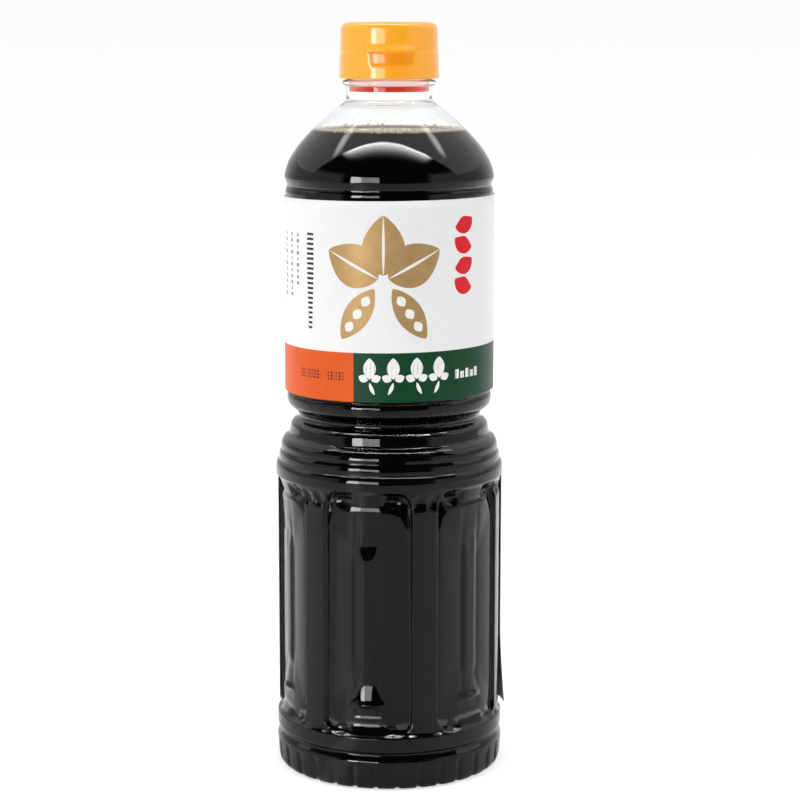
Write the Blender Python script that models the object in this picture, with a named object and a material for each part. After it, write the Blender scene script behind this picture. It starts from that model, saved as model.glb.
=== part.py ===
"""One-litre soy sauce bottle: a clear PET shell, the sauce in it, a shut flip-top cap and two labels.

Metres, +Z up, standing on z = 0, with the front towards -Y. Sizes below are in millimetres. Every piece
is turned about one upright axis, and an azimuth is measured round it from the front, positive to the right.
"""

import math

import bmesh
import bpy
import numpy as np

MM = 0.001

# Driving sizes of the body
HEIGHT = 267.0
RIM_RADIUS = 41.0
PANEL_RADIUS = 36.9
NECK_RADIUS = 15.05
BORE_RADIUS = 13.6
WALL = 0.55
GAP = 0.3
SAUCE_LEVEL = 229.0

# Flutes: six recessed panels, each with a raised rib down its middle
FLUTES = 6
FLUTE_PITCH = 360 / FLUTES
FLUTE_PHASE = -11.5
FLUTE_FOOT = 18.9
FLUTE_HEAD = 107.3
FLUTE_HALF = 23.65
PAD_HALF = 20.5
RIB_HALF = 3.5
RIB_FOOT = 6.0
EDGE_DEPTH = 1.3
VALLEY_DEPTH = 2.5
RIB_DEPTH = 1.6

# Notches round the foot ring
NOTCHES = 32
NOTCH_HALF = 1.8
NOTCH_DEPTH = 0.5
NOTCH_PHASE = 4.2
NOTCH_TOP = 9.3
HEEL_TOP = 2.6

# Labels, which stand a little off the wall, as film and paper do
LABEL_BOTTOM = 137.9
LABEL_TOP = 206.9
FILM = 0.25
BACK_LABEL_BOTTOM = 20.6
BACK_LABEL_TOP = 105.7
BACK_LABEL_RADIUS = 40.45
BACK_LABEL_START = 88.0
BACK_LABEL_END = 265.0
PEEL_REACH = 42.4

# Cap
CAP_BOTTOM = 247.4
CAP_FOOT_RADIUS = 17.65
CAP_HEAD_RADIUS = 16.9
CAP_WALL = 1.3
SEAM_HEIGHT = 256.6
SEAM_DEPTH = 0.3
TAB_CENTRE = 3.2
TAB_HALF = 28.3
TAB_TOP = 259.1
TAB_PROUD = 0.9
RECESS_BOTTOM = 251.8
RECESS_DEPTH = 0.7
HINGE_HALF = 20.0

# The lifted corner of the back label widens the whole to one side, so the axis stands half of that off centre.
AXIS_X = (RIM_RADIUS - PEEL_REACH) / 2

PLAIN_COLUMNS = 36


def arc(centre, radius, start, end, count):
    """Points (radius from the axis, height) on an arc, its angles in degrees from the outward direction."""
    turn = np.radians(np.linspace(start, end, count))
    return [(centre[0] + radius * math.cos(t), centre[1] + radius * math.sin(t)) for t in turn]


def bezier(first, second, third, fourth, count):
    """Points of a cubic curve in the plane of the profile."""
    points = []
    for t in np.linspace(0, 1, count):
        weights = ((1 - t) ** 3, 3 * t * (1 - t) ** 2, 3 * t * t * (1 - t), t**3)
        corners = np.array((first, second, third, fourth))
        points.append(tuple(np.array(weights) @ corners))
    return points


def moulded_ring(low, high, radius, groove=0.45):
    """A ring of the staircase under the waist: a foot, an upright face and a rounded upper edge."""
    return [
        (radius - groove, low),
        (radius, low + 0.5),
        (radius, high - 0.9),
        (radius - groove, high),
    ]


def even_columns(count, start=0.0):
    return start + np.arange(count) * 360 / count


def ring(profile_point, columns, inset=0.0):
    """One closed row of points round the axis. The inset may differ from column to column."""
    radius, height = profile_point
    azimuth = np.radians(columns)
    radii = radius - inset + 0 * azimuth
    heights = height + 0 * azimuth
    return np.stack((radii * np.sin(azimuth), -radii * np.cos(azimuth), heights), axis=1), columns


def stitch(mesh, lower, upper):
    """Joins two rows, also of different counts, by walking round both in order of azimuth.

    The diagonal of each quad rises to the right, whichever row comes first, so that nested surfaces match.
    """
    (low_points, low_columns), (high_points, high_columns) = lower, upper
    low_count, high_count = len(low_points), len(high_points)
    i = j = 0
    while i < low_count or j < high_count:
        low_next = low_columns[(i + 1) % low_count] + 360 * ((i + 1) // low_count)
        high_next = high_columns[(j + 1) % high_count] + 360 * ((j + 1) // high_count)
        a = low_points[i % low_count]
        d = high_points[j % high_count]
        together = abs(low_next - high_next) < 0.01 and i < low_count and j < high_count
        if together:
            b = low_points[(i + 1) % low_count]
            c = high_points[(j + 1) % high_count]
            rising = a.co.z <= d.co.z
            mesh.faces.new((a, b, c) if rising else (a, b, d))
            mesh.faces.new((a, c, d) if rising else (b, c, d))
            i += 1
            j += 1
        elif j >= high_count or (i < low_count and low_next < high_next):
            mesh.faces.new((a, low_points[(i + 1) % low_count], d))
            i += 1
        else:
            mesh.faces.new((a, high_points[(j + 1) % high_count], d))
            j += 1


def fan(mesh, row, pole, upwards):
    points, _ = row
    count = len(points)
    for k in range(count):
        a, b = points[k], points[(k + 1) % count]
        mesh.faces.new((a, b, pole) if upwards else (b, a, pole))


def turned(name, rows, material, first_pole=None, last_pole=None):
    """A solid of rows round the axis, closed by a pole at each end or, with no poles, back to its first row."""
    mesh = bmesh.new()
    made = []
    for points, columns in rows:
        scaled = (points + np.array((AXIS_X, 0, 0))) * MM
        made.append(([mesh.verts.new(p) for p in scaled], columns))
    for lower, upper in zip(made, made[1:]):
        stitch(mesh, lower, upper)
    if first_pole is None:
        stitch(mesh, made[-1], made[0])
    else:
        fan(mesh, made[0], mesh.verts.new((AXIS_X * MM, 0, first_pole * MM)), False)
        fan(mesh, made[-1], mesh.verts.new((AXIS_X * MM, 0, last_pole * MM)), True)
    bmesh.ops.recalc_face_normals(mesh, faces=mesh.faces)
    data = bpy.data.meshes.new(name)
    mesh.to_mesh(data)
    mesh.free()
    data.shade_smooth()
    data.set_sharp_from_angle(angle=math.radians(35))
    data.materials.append(material)
    made_object = bpy.data.objects.new(name, data)
    bpy.context.scene.collection.objects.link(made_object)
    return made_object


def plastic(name, colour, roughness, transmission=0.0):
    material = bpy.data.materials.new(name)
    material.use_nodes = True
    shader = material.node_tree.nodes["Principled BSDF"]
    shader.inputs["Base Color"].default_value = (*colour, 1)
    shader.inputs["Roughness"].default_value = roughness
    shader.inputs["Metallic"].default_value = 0.0
    shader.inputs["Transmission Weight"].default_value = transmission
    return material


def flute_columns():
    """Twelve columns a flute, on the creases of its panel, sorted from the first one past the front."""
    offsets = (0, RIB_HALF, RIB_FOOT, 13, PAD_HALF, FLUTE_HALF, 30)
    one = sorted({side * offset for offset in offsets for side in (-1, 1)} - {-30})
    columns = [(FLUTE_PHASE + FLUTE_PITCH * k + offset) % 360 for k in range(FLUTES) for offset in one]
    return np.array(sorted(columns))


def flute_inset(columns, edge, valley, rib):
    """How far the wall stands back at each column, from the depths at the pad's edge, valleys and rib."""
    offset = np.abs((columns - FLUTE_PHASE + FLUTE_PITCH / 2) % FLUTE_PITCH - FLUTE_PITCH / 2)
    stations = (0, RIB_HALF, RIB_FOOT, PAD_HALF, FLUTE_HALF)
    return np.interp(offset, stations, (rib, rib, valley, edge, 0))


def fluted_rows(wall, columns):
    """The fluted zone from foot to head: a ramp, the pad with its hipped ends and the rib, a step and a ramp."""
    edge, valley, rib = EDGE_DEPTH, VALLEY_DEPTH, RIB_DEPTH
    stations = (
        (FLUTE_FOOT, 40.9, 0, 0, 0),
        (20.4, 40.1, 0.3, 0.3, 0.3),
        (25.7, 40.0, edge, edge, edge),
        (29.7, 39.9, edge, edge, edge),
        (38.3, 39.9, edge, valley, valley),
        (42.0, 39.9, edge, valley, rib),
        (82.2, 39.9, edge, valley, rib),
        (88.2, 39.9, edge, valley, valley),
        (99.5, 40.0, edge, edge, edge),
        (101.3, 40.0, 2.0, 2.0, 2.0),
        (105.9, 40.1, 0.3, 0.3, 0.3),
        (FLUTE_HEAD, RIM_RADIUS, 0, 0, 0),
    )
    rows = []
    for height, radius, at_edge, at_valley, at_rib in stations:
        inset = flute_inset(columns, at_edge, at_valley, at_rib)
        rows.append(ring((radius - wall, height), columns, inset))
    return rows


def base_profile():
    """Underside: a shallow push-up, the flat ring that it rests on, and the round heel."""
    return [(18.0, 4.2), (33.5, 0.0), (37.4, 0.0)] + arc((37.7, HEEL_TOP), 2.6, -75, -25, 3)


def foot_ring_profile():
    """Top of the foot ring, the groove over it and the smooth band under the flutes."""
    return [(RIM_RADIUS, 10.4), (40.6, 11.2), (39.9, 12.0), (39.9, 12.7), (40.5, 13.5), (40.9, 14.4)]


def ringed_waist_profile():
    """Four stepped rings that narrow upwards, the waist, and the bead under the front label."""
    rings = [(RIM_RADIUS, FLUTE_HEAD + 1)] + moulded_ring(107.9, 111.5, RIM_RADIUS)[2:]
    rings += moulded_ring(112.1, 115.5, 39.8) + moulded_ring(116.1, 120.2, 39.05)
    rings += [(36.1, 121.4)] + moulded_ring(121.9, 125.9, 35.85)[1:]
    waist = arc((34.3, 128.4), 1.7, 235, 125, 4)
    return rings + waist + moulded_ring(132.6, 137.0, 36.75, groove=0.8)


def shoulder_profile():
    """Label panel, the pinch over it, the shoulder's curve, and the neck up to its support ring."""
    pinch = [(PANEL_RADIUS, 207.4), (36.95, 208.3), (36.4, 210.0), (36.6, 211.2)]
    shoulder = bezier((37.2, 212.8), (37.2, 220.8), (26.8, 231.1), (15.3, 239.6), 8)
    return [(PANEL_RADIUS, 137.5)] + pinch + shoulder + [(NECK_RADIUS, 240.4)]


def finish_profile():
    """Clear support ring and the plain mouth that the cap hides."""
    support = [(NECK_RADIUS, 244.7), (16.5, 245.3), (16.5, 246.6), (14.9, 247.1)]
    return support + [(14.9, 251.7), (14.6, 252.0), (BORE_RADIUS + 0.3, 252.0)]


def inside_radius(outline, height, wall):
    """Radius of a smooth inside that keeps its wall from the nearest dip of the outside."""
    heights = [point[1] for point in outline]
    radii = [point[0] for point in outline]
    return min(np.interp(height + step, heights, radii) for step in (-0.9, 0, 0.9)) - wall


def inside_rows(wall):
    """The hollow from its floor up to the foot of the neck, as rows. The sauce is the same form, further in."""
    columns = even_columns(PLAIN_COLUMNS)
    floor = [(18.0, 4.2 + wall), (33.4, wall + 0.1), (36.8, wall + 0.1)]
    heel = [(38.8 - wall, 1.6 + wall), (39.9 - wall, 13.0), (40.6 - wall, 16.0)]
    outline = ringed_waist_profile() + shoulder_profile()
    stations = (112.2, 116.0, 119.4, 121.6, 125.2, 128.4, 132.4, 138.0, 206.5, 210.0, 212.6)
    shoulder = (218.0, 223.5, SAUCE_LEVEL, 234.5, 238.3, 240.8)
    rows = [ring(point, columns) for point in floor + heel]
    rows += fluted_rows(wall, flute_columns())
    for height in stations + shoulder:
        rows.append(ring((inside_radius(outline, height, wall), height), columns))
    return rows


def notch_columns():
    centres = NOTCH_PHASE + np.arange(NOTCHES) * 360 / NOTCHES
    return np.array(sorted((c + o) % 360 for c in centres for o in (-NOTCH_HALF, 0, NOTCH_HALF)))


def notch_inset(columns):
    pitch = 360 / NOTCHES
    offset = np.abs((columns - NOTCH_PHASE + pitch / 2) % pitch - pitch / 2)
    return np.interp(offset, (0, NOTCH_HALF), (NOTCH_DEPTH, 0))


def make_bottle():
    """The shell as one surface: up the outside from its underside, over the mouth and down the inside."""
    plain = even_columns(PLAIN_COLUMNS)
    notched = notch_columns()
    rows = [ring(point, plain) for point in base_profile()]
    rows.append(ring((40.35, HEEL_TOP), notched, notch_inset(notched)))
    rows.append(ring((40.9, NOTCH_TOP), notched, notch_inset(notched)))
    rows += [ring(point, plain) for point in foot_ring_profile()]
    rows += fluted_rows(0.0, flute_columns())
    rows += [ring(point, plain) for point in ringed_waist_profile() + shoulder_profile() + finish_profile()]
    rows += [ring((BORE_RADIUS, height), plain) for height in (251.7, 242.8)]
    rows += inside_rows(WALL)[::-1]
    clear = plastic("clear_pet", (0.93, 0.95, 0.94), 0.03, transmission=1.0)
    return turned("bottle", rows, clear, first_pole=4.4, last_pole=4.4 + WALL)


def make_sauce():
    """Sauce up to its level, a gap inside the wall."""
    sauce = plastic("soy_sauce_liquid", (0.012, 0.004, 0.002), 0.02)
    rows = [row for row in inside_rows(WALL + GAP) if row[0][0, 2] <= SAUCE_LEVEL]
    return turned("soy_sauce", rows, sauce, first_pole=4.4 + WALL + GAP, last_pole=SAUCE_LEVEL)


def make_label():
    """Printed film sleeve round the plain panel."""
    columns = even_columns(PLAIN_COLUMNS)
    inner = PANEL_RADIUS + FILM
    outer = inner + FILM
    corners = ((inner, LABEL_TOP), (inner, LABEL_BOTTOM), (outer, LABEL_BOTTOM), (outer, LABEL_TOP))
    rows = [ring(corner, columns) for corner in corners]
    return turned("front_label", rows, plastic("printed_film", (0.86, 0.86, 0.85), 0.35))


def make_back_label():
    """Sheet glued over the flutes of the back, its lower corner at the right lifted off the bottle."""
    azimuths = np.radians(np.linspace(BACK_LABEL_START, BACK_LABEL_END, 19))
    heights = np.linspace(BACK_LABEL_BOTTOM, BACK_LABEL_TOP, 7)
    azimuth, height = np.meshgrid(azimuths, heights)
    along = np.clip(1 - (azimuth - azimuths[0]) / math.radians(20), 0, 1)
    down = np.clip(1 - (height - heights[0]) / 29, 0, 1)
    lift = PEEL_REACH - FILM - BACK_LABEL_RADIUS
    radius = BACK_LABEL_RADIUS + lift * along * down**1.5
    points = np.stack((radius * np.sin(azimuth) + AXIS_X, -radius * np.cos(azimuth), height), axis=-1) * MM
    rows, columns = azimuth.shape
    corner = np.arange(rows * columns).reshape(rows, columns)
    faces = np.stack((corner[:-1, :-1], corner[:-1, 1:], corner[1:, 1:], corner[1:, :-1]), axis=-1)
    data = bpy.data.meshes.new("back_label")
    data.from_pydata(points.reshape(-1, 3).tolist(), [], faces.reshape(-1, 4).tolist())
    data.shade_smooth()
    data.materials.append(plastic("back_paper", (0.78, 0.78, 0.76), 0.45))
    made_object = bpy.data.objects.new("back_label", data)
    bpy.context.scene.collection.objects.link(made_object)
    thickness = made_object.modifiers.new("thickness", "SOLIDIFY")
    thickness.thickness = FILM * MM
    thickness.offset = 1.0
    return made_object


def cap_columns():
    """Columns on the edges of the tab and the hinge, and evenly between them."""
    near = (0, 9, 18, TAB_HALF - 3, TAB_HALF, TAB_HALF + 1.5)
    tab = {TAB_CENTRE + side * offset for offset in near for side in (-1, 1)}
    hinge = {180 + side * (HINGE_HALF + extra) for extra in (0, 1.5) for side in (-1, 1)}
    first = TAB_CENTRE + TAB_HALF + 1.5
    last = 180 - HINGE_HALF - 1.5
    right = set(np.linspace(first, last, 13)[1:-1])
    left = set(np.linspace(180 + HINGE_HALF + 1.5, 360 + 2 * TAB_CENTRE - first, 13)[1:-1])
    return np.array(sorted(column % 360 for column in tab | hinge | right | left | {172.0, 180.0, 188.0}))


def make_cap():
    """Shut flip-top cap in one piece: a tapered drum, thumb tab, finger recess, seam and hinge web."""
    columns = cap_columns()
    from_tab = np.abs((columns - TAB_CENTRE + 180) % 360 - 180)
    on_tab = np.interp(from_tab, (TAB_HALF, TAB_HALF + 1.5), (1, 0))
    in_recess = np.interp(from_tab, (TAB_HALF - 3, TAB_HALF), (1, 0))
    on_seam = np.interp(np.abs(columns - 180), (HINGE_HALF, HINGE_HALF + 1.5), (0, 1)) * (1 - on_tab)

    def drum(height):
        return np.interp(height, (CAP_BOTTOM, HEIGHT - 4), (CAP_FOOT_RADIUS, CAP_HEAD_RADIUS))

    def drum_row(height, inset=0.0):
        return ring((drum(height), height), columns, inset)

    rows = [
        ring((drum(CAP_BOTTOM) - CAP_WALL, 265.4), columns),
        ring((drum(CAP_BOTTOM) - CAP_WALL, CAP_BOTTOM), columns),
        ring((drum(CAP_BOTTOM) - 0.4, CAP_BOTTOM), columns),
        drum_row(CAP_BOTTOM + 0.5),
        drum_row(RECESS_BOTTOM - 0.4),
        drum_row(RECESS_BOTTOM + 0.4, RECESS_DEPTH * in_recess),
        drum_row(SEAM_HEIGHT - 0.5, RECESS_DEPTH * in_recess),
        drum_row(SEAM_HEIGHT - 0.2, SEAM_DEPTH * on_seam - TAB_PROUD * on_tab),
        drum_row(SEAM_HEIGHT + 0.2, SEAM_DEPTH * on_seam - TAB_PROUD * on_tab),
        drum_row(SEAM_HEIGHT + 0.5, -TAB_PROUD * on_tab),
        drum_row(TAB_TOP),
        drum_row(HEIGHT - 4),
    ]
    rows += [ring(point, columns) for point in arc((CAP_HEAD_RADIUS - 2.0, HEIGHT - 2.0), 2.0, 0, 80, 4)]
    yellow = plastic("yellow_polypropylene", (0.98, 0.36, 0.02), 0.3)
    return turned("cap", rows, yellow, first_pole=265.4, last_pole=HEIGHT)


def make_pour_plug():
    """Red insert in the neck, whose lower edge shows through the clear wall under the support ring."""
    columns = even_columns(PLAIN_COLUMNS)
    outer = BORE_RADIUS - 0.35
    corners = ((outer - 1.2, 251.4), (outer - 1.2, 243.2), (outer, 243.2), (outer, 251.4))
    rows = [ring(corner, columns) for corner in corners]
    return turned("pour_plug", rows, plastic("red_polyethylene", (0.7, 0.05, 0.015), 0.35))


for old in list(bpy.data.objects):
    bpy.data.objects.remove(old, do_unlink=True)

make_bottle()
make_sauce()
make_label()
make_back_label()
make_cap()
make_pour_plug()
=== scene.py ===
"""Visual model of a one-litre soy sauce bottle: shell, sauce, froth, insert, cap, sleeve and back label.

Metres, +Z up, the front towards -Y. Sizes in the sections are in millimetres. Every piece is turned about one
upright axis, and an azimuth is measured round it in degrees from the front, positive to the right.
"""

import math

import bpy
import numpy as np
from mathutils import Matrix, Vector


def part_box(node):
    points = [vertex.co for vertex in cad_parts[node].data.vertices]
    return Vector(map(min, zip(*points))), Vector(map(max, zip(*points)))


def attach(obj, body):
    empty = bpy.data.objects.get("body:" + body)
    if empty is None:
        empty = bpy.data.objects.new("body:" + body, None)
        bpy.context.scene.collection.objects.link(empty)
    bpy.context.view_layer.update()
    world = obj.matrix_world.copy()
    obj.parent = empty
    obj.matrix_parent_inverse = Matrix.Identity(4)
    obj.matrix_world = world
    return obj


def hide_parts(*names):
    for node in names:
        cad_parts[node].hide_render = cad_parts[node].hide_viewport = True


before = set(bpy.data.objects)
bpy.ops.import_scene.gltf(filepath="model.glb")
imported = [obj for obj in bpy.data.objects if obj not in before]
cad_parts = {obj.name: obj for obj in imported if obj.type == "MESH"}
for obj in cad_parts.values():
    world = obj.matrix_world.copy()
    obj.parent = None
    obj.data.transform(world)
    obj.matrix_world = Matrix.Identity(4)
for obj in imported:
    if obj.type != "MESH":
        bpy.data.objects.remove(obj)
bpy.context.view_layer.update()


# Bottle shell
# A clear PET bottle, stretch-blown into a polished mould, about half a millimetre thick. Stepped rings, a
# waist and six fluted panels with a rib down each stiffen it, and short grooves stand round its foot.

MM = 0.001
SLEEVE_LOW, SLEEVE_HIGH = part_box("front_label")
AXIS_X = (SLEEVE_LOW.x + SLEEVE_HIGH.x) / 2
WALL = 0.55
BODY_RADIUS = 40.0
PANEL_RADIUS = 36.9
SHOULDER_END = (15.3, 239.6)
NECK_RADIUS = 15.05
NECK_FOOT = 240.5
NECK_TOP = 244.9
BORE_RADIUS = 13.6
DOME_HEIGHT = 4.4
FLUTE_PITCH = 60.0
FLUTE_PHASE = -11.5
FLUTE_FOOT = 18.9
FLUTE_HEAD = 107.3
PAD_HALF = 14.6
PAD_FOOT = 25.7
PAD_HEAD = 99.5
EDGE_DEPTH = 1.3
VALLEY_DEPTH = 2.5
RIB_DEPTH = 1.6
SILL_DEPTH = 0.2
HIP_WIDTH = 10.4
OUTLINE_HALF = 16.5
OUTLINE_CORNER = 6.0
WALL_SLOPE = 2.1
DIMPLES = (  # middle beside the rib, height, half its width, half its height, and depth
    (18.3, 102.7, 3.2, 2.9, 1.15), (9.6, 102.4, 3.3, 2.3, 0.9),
    (9.3, 20.9, 2.6, 1.5, 0.4), (16.3, 20.3, 2.6, 1.2, 0.5),
)
NOTCHES = 32
NOTCH_DEPTH = 0.85
NOTCH_HALF = 2.1
NOTCH_PHASE = 4.2


def rounded(corners, steps=3):
    """A profile through corners (radius, height, reach), each cut back by its reach and bridged by a curve.

    The curve is quadratic, with the corner as its middle control point. One more point stands a little before
    and after each curve, so that the flats beside it stay flat when they are shaded.
    """
    most, hold = 0.42, 1.15
    table = np.array(corners, float)
    points, reach = table[:, :2], table[1:-1, 2:]
    before = points[:-2] - points[1:-1]
    after = points[2:] - points[1:-1]
    cut_before = before * np.minimum(reach / np.linalg.norm(before, axis=1, keepdims=True), most)
    cut_after = after * np.minimum(reach / np.linalg.norm(after, axis=1, keepdims=True), most)
    t = np.linspace(0, 1, steps)[:, None, None]
    curve = points[1:-1] + (1 - t) ** 2 * cut_before + t**2 * cut_after
    hold_before = (points[1:-1] + hold * cut_before)[None]
    hold_after = (points[1:-1] + hold * cut_after)[None]
    held = np.concatenate((hold_before, curve, hold_after))
    return np.concatenate((points[:1], held.transpose(1, 0, 2).reshape(-1, 2), points[-1:]))


def filled(profile, gap):
    """The same profile with points added along it, so that none stand further apart than the gap."""
    along = np.concatenate(([0], np.cumsum(np.linalg.norm(np.diff(profile, axis=0), axis=1))))
    extra = np.linspace(0, along[-1], int(along[-1] / gap))
    nearest = np.abs(extra[:, None] - along[None]).min(axis=1)
    places = np.sort(np.concatenate((along, extra[nearest > 0.3 * gap])))
    return np.stack([np.interp(places, along, profile[:, part]) for part in (0, 1)], axis=1)


def turned(radius, turn, height):
    """Points round the axis: the radius times the sine and minus the cosine of the turn, and the height."""
    return np.stack((radius * np.sin(turn), -radius * np.cos(turn), height), axis=-1)


def in_frame(points):
    """Points in millimetres from the bottle's axis as metres in the shared frame."""
    return points * MM + np.array((AXIS_X, 0, 0))


def around(profile, azimuths, inset=0.0):
    """Rows of points of a turned surface, one to each point of the profile, its radius less the inset."""
    turn = np.radians(azimuths)
    return in_frame(turned(profile[:, :1] - inset + 0 * turn, turn, profile[:, 1:] + 0 * turn))


def even(count):
    """Azimuths all round at equal steps."""
    return np.arange(count) * 360 / count


def crowded(count):
    """Azimuths all round, so many to a panel, which stand closer together at the steep walls of the flutes.

    They are equal steps of the running sum of a density, with a high peak at each wall and a low one beside
    the rib.
    """
    wall_degrees, rib_degrees = 23.2, 5.0
    offset = np.linspace(-FLUTE_PITCH / 2, FLUTE_PITCH / 2, 601)
    at_wall = np.exp(-(((np.abs(offset) - wall_degrees) / 1.7) ** 2))
    at_rib = np.exp(-(((np.abs(offset) - rib_degrees) / 2.0) ** 2))
    density = 1 + 3.4 * at_wall + 0.3 * at_rib
    run = np.concatenate(([0], np.cumsum((density[1:] + density[:-1]) / 2)))
    within = np.interp(np.arange(count) / count * run[-1], run, offset)
    middles = FLUTE_PHASE + FLUTE_PITCH * np.arange(360 / FLUTE_PITCH)
    return (middles[:, None] + within).ravel()


def eased(value, stations, levels, reach):
    """Straight lines through the stations, their corners rounded by a mean over the reach to both sides."""
    shifts = reach * np.linspace(-1, 1, 7)
    return np.mean([np.interp(value + shift, stations, levels) for shift in shifts], axis=0)


def smooth_min(first, second, blend):
    """The lesser of two values, rounded where they are within about the blend of each other."""
    return 0.5 * (first + second - np.hypot(first - second, blend))


def inside_of(across, height, half, low, high, corner):
    """Distance inwards from the edge of a rectangle with round corners, negative outside it."""
    past_side = np.abs(across) - (half - corner)
    past_end = np.abs(height - (low + high) / 2) - ((high - low) / 2 - corner)
    outside = np.hypot(np.maximum(past_side, 0), np.maximum(past_end, 0))
    return corner - outside - np.minimum(np.maximum(past_side, past_end), 0)


def bowl(across, height, middle, level, half, rise, depth):
    """A smooth dimple, deepest at its middle and level, that fades out at an ellipse round it."""
    reach = ((across - middle) / half) ** 2 + ((height - level) / rise) ** 2
    return depth * np.maximum(1 - reach, 0) ** 1.15


def toe_bump(across, height):
    """The toe under a rib: a swelling with a short steep brow, and over it a steeper and a gentler slope.

    Its height over the floor falls with the square of the distance from the rib's middle line.
    """
    half = eased(height, (30.5, 34.0, 39.0), (6.2, 4.8, 3.0), 0.6)
    rise = eased(height, (29.2, 30.1, 32.0, 39.6), (0, 1.65, 0.7, 0), 0.3)
    return rise * np.maximum(1 - (across / half) ** 2, 0)


def heart_pit(across, height):
    """The mark at a rib's head: a shallow hollow, wide above and narrow below, that slopes out downwards."""
    half = eased(height, (81.0, 88.0), (0.9, 5.0), 0.6)
    return eased(height, (81.2, 88.2, 90.0), (0, 0.46, 0), 0.5) * np.maximum(1 - (across / half) ** 2, 0)


def panel_floor(across, height):
    """The floor of a panel: a pad, hipped at its ends and deepest beside its rib, with a groove all round it.

    The pad has a low sill at its foot. The rib and its toe stand up, and the mark over the rib is sunk.
    """
    pad = inside_of(across, height, PAD_HALF, PAD_FOOT, PAD_HEAD, eased(height, (40, 80), (4.5, 8.0), 5.0))
    fall = VALLEY_DEPTH - EDGE_DEPTH
    side = fall * np.clip((PAD_HALF - across) / HIP_WIDTH, 0, 1)
    head = eased(height, (80.0, PAD_HEAD), (fall, 0), 1.0)
    foot = eased(height, (PAD_FOOT, 38.3, 46.0), (0, 0.78, fall), 1.0)
    sill = SILL_DEPTH * eased(height, (PAD_FOOT, 26.2), (0, 1), 0.1) * eased(across, (4.4, 5.4), (1, 0), 0.3)
    dish = EDGE_DEPTH + sill + smooth_min(side, smooth_min(head, foot, 0.12), 0.12)
    groove = EDGE_DEPTH + eased(height, (40, 80), (0.08, 0.27), 5.0) * np.maximum(-pad, 0)
    floor = np.where(pad > 0, dish, groove)
    rib = np.clip((4.6 - across) / 2.2, 0, 1)
    rib = rib * rib * (3 - 2 * rib) * eased(height, (38.6, 42.0, 81.5, 95.0), (0, 1, 1, 0), 0.8)
    return floor - (VALLEY_DEPTH - RIB_DEPTH) * rib - toe_bump(across, height) + heart_pit(across, height)


def end_ramps(across, height):
    """The ramps at a panel's head and foot, each in one line in the middle and in another at the sides."""
    middle_head = eased(height, (98.8, 101.6, 105.7, FLUTE_HEAD), (3.0, 1.62, 0.3, 0), 0.4)
    side_head = eased(height, (101.0, 104.2, 106.4, FLUTE_HEAD), (3.6, 2.1, 0.4, 0), 0.4)
    head_ramp = side_head + (middle_head - side_head) * eased(across, (4.6, 6.8), (1, 0), 0.5)
    middle_levels = (0, 0.02, 1.32, 1.46, 1.95, 3.0)
    middle_foot = eased(height, (FLUTE_FOOT, 19.3, 22.9, 24.0, 25.2, 26.5), middle_levels, 0.3)
    side_foot = eased(height, (FLUTE_FOOT, 19.3, 21.7, 23.0, 26.0), (0, 0.1, 1.25, 1.5, 3.0), 0.35)
    foot_ramp = side_foot + (middle_foot - side_foot) * eased(across, (5.6, 7.0), (1, 0), 0.3)
    return smooth_min(head_ramp, foot_ramp, 0.1)


def flute_depth(azimuth, height):
    """How far the panels stand back: the least of the steep wall inside the outline, the floor and the ramps.

    The dimples beside the ends of the rib, in the panel and in the pillar, are sunk into the sum.
    """
    offset = (azimuth - FLUTE_PHASE + FLUTE_PITCH / 2) % FLUTE_PITCH - FLUTE_PITCH / 2
    across = np.abs(np.radians(offset) * BODY_RADIUS)
    within = inside_of(across, height, OUTLINE_HALF, FLUTE_FOOT + 0.3, FLUTE_HEAD - 0.6, OUTLINE_CORNER)
    wall = WALL_SLOPE * np.maximum(within, 0)
    depth = smooth_min(smooth_min(wall, panel_floor(across, height), 0.05), end_ramps(across, height), 0.06)
    for middle, level, half, rise, dimple in DIMPLES:
        depth = depth + bowl(across, height, middle, level, half, rise, dimple)
    return depth


def notch_depth(azimuth, height):
    """Short upright grooves round the foot: a hump in azimuth, which fades out above and deepens below."""
    pitch = 360 / NOTCHES
    offset = np.abs((azimuth - NOTCH_PHASE + pitch / 2) % pitch - pitch / 2)
    hump = np.clip(1 - offset / NOTCH_HALF, 0, 1)
    return NOTCH_DEPTH * hump * hump * (3 - 2 * hump) * eased(height, (0, 2.2, 8.2, 9.4), (1.9, 1, 1, 0), 0.3)


def bridge(before, after):
    """Faces between two closed rows of point numbers, of one count or one with twice as many as the other."""
    if len(before) == len(after):
        faces = np.stack((before, np.roll(before, -1), np.roll(after, -1), after), axis=-1)
        return faces.tolist()
    if len(before) > len(after):
        near, half, far = before[0::2], before[1::2], np.roll(before[0::2], -1)
        top, next_top = after, np.roll(after, -1)
        groups = ((near, half, top), (half, next_top, top), (half, far, next_top))
    else:
        low, next_low = before, np.roll(before, -1)
        near, half, far = after[0::2], after[1::2], np.roll(after[0::2], -1)
        groups = ((low, half, near), (low, next_low, half), (next_low, far, half))
    return [face for group in groups for face in np.stack(group, axis=-1).tolist()]


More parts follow.
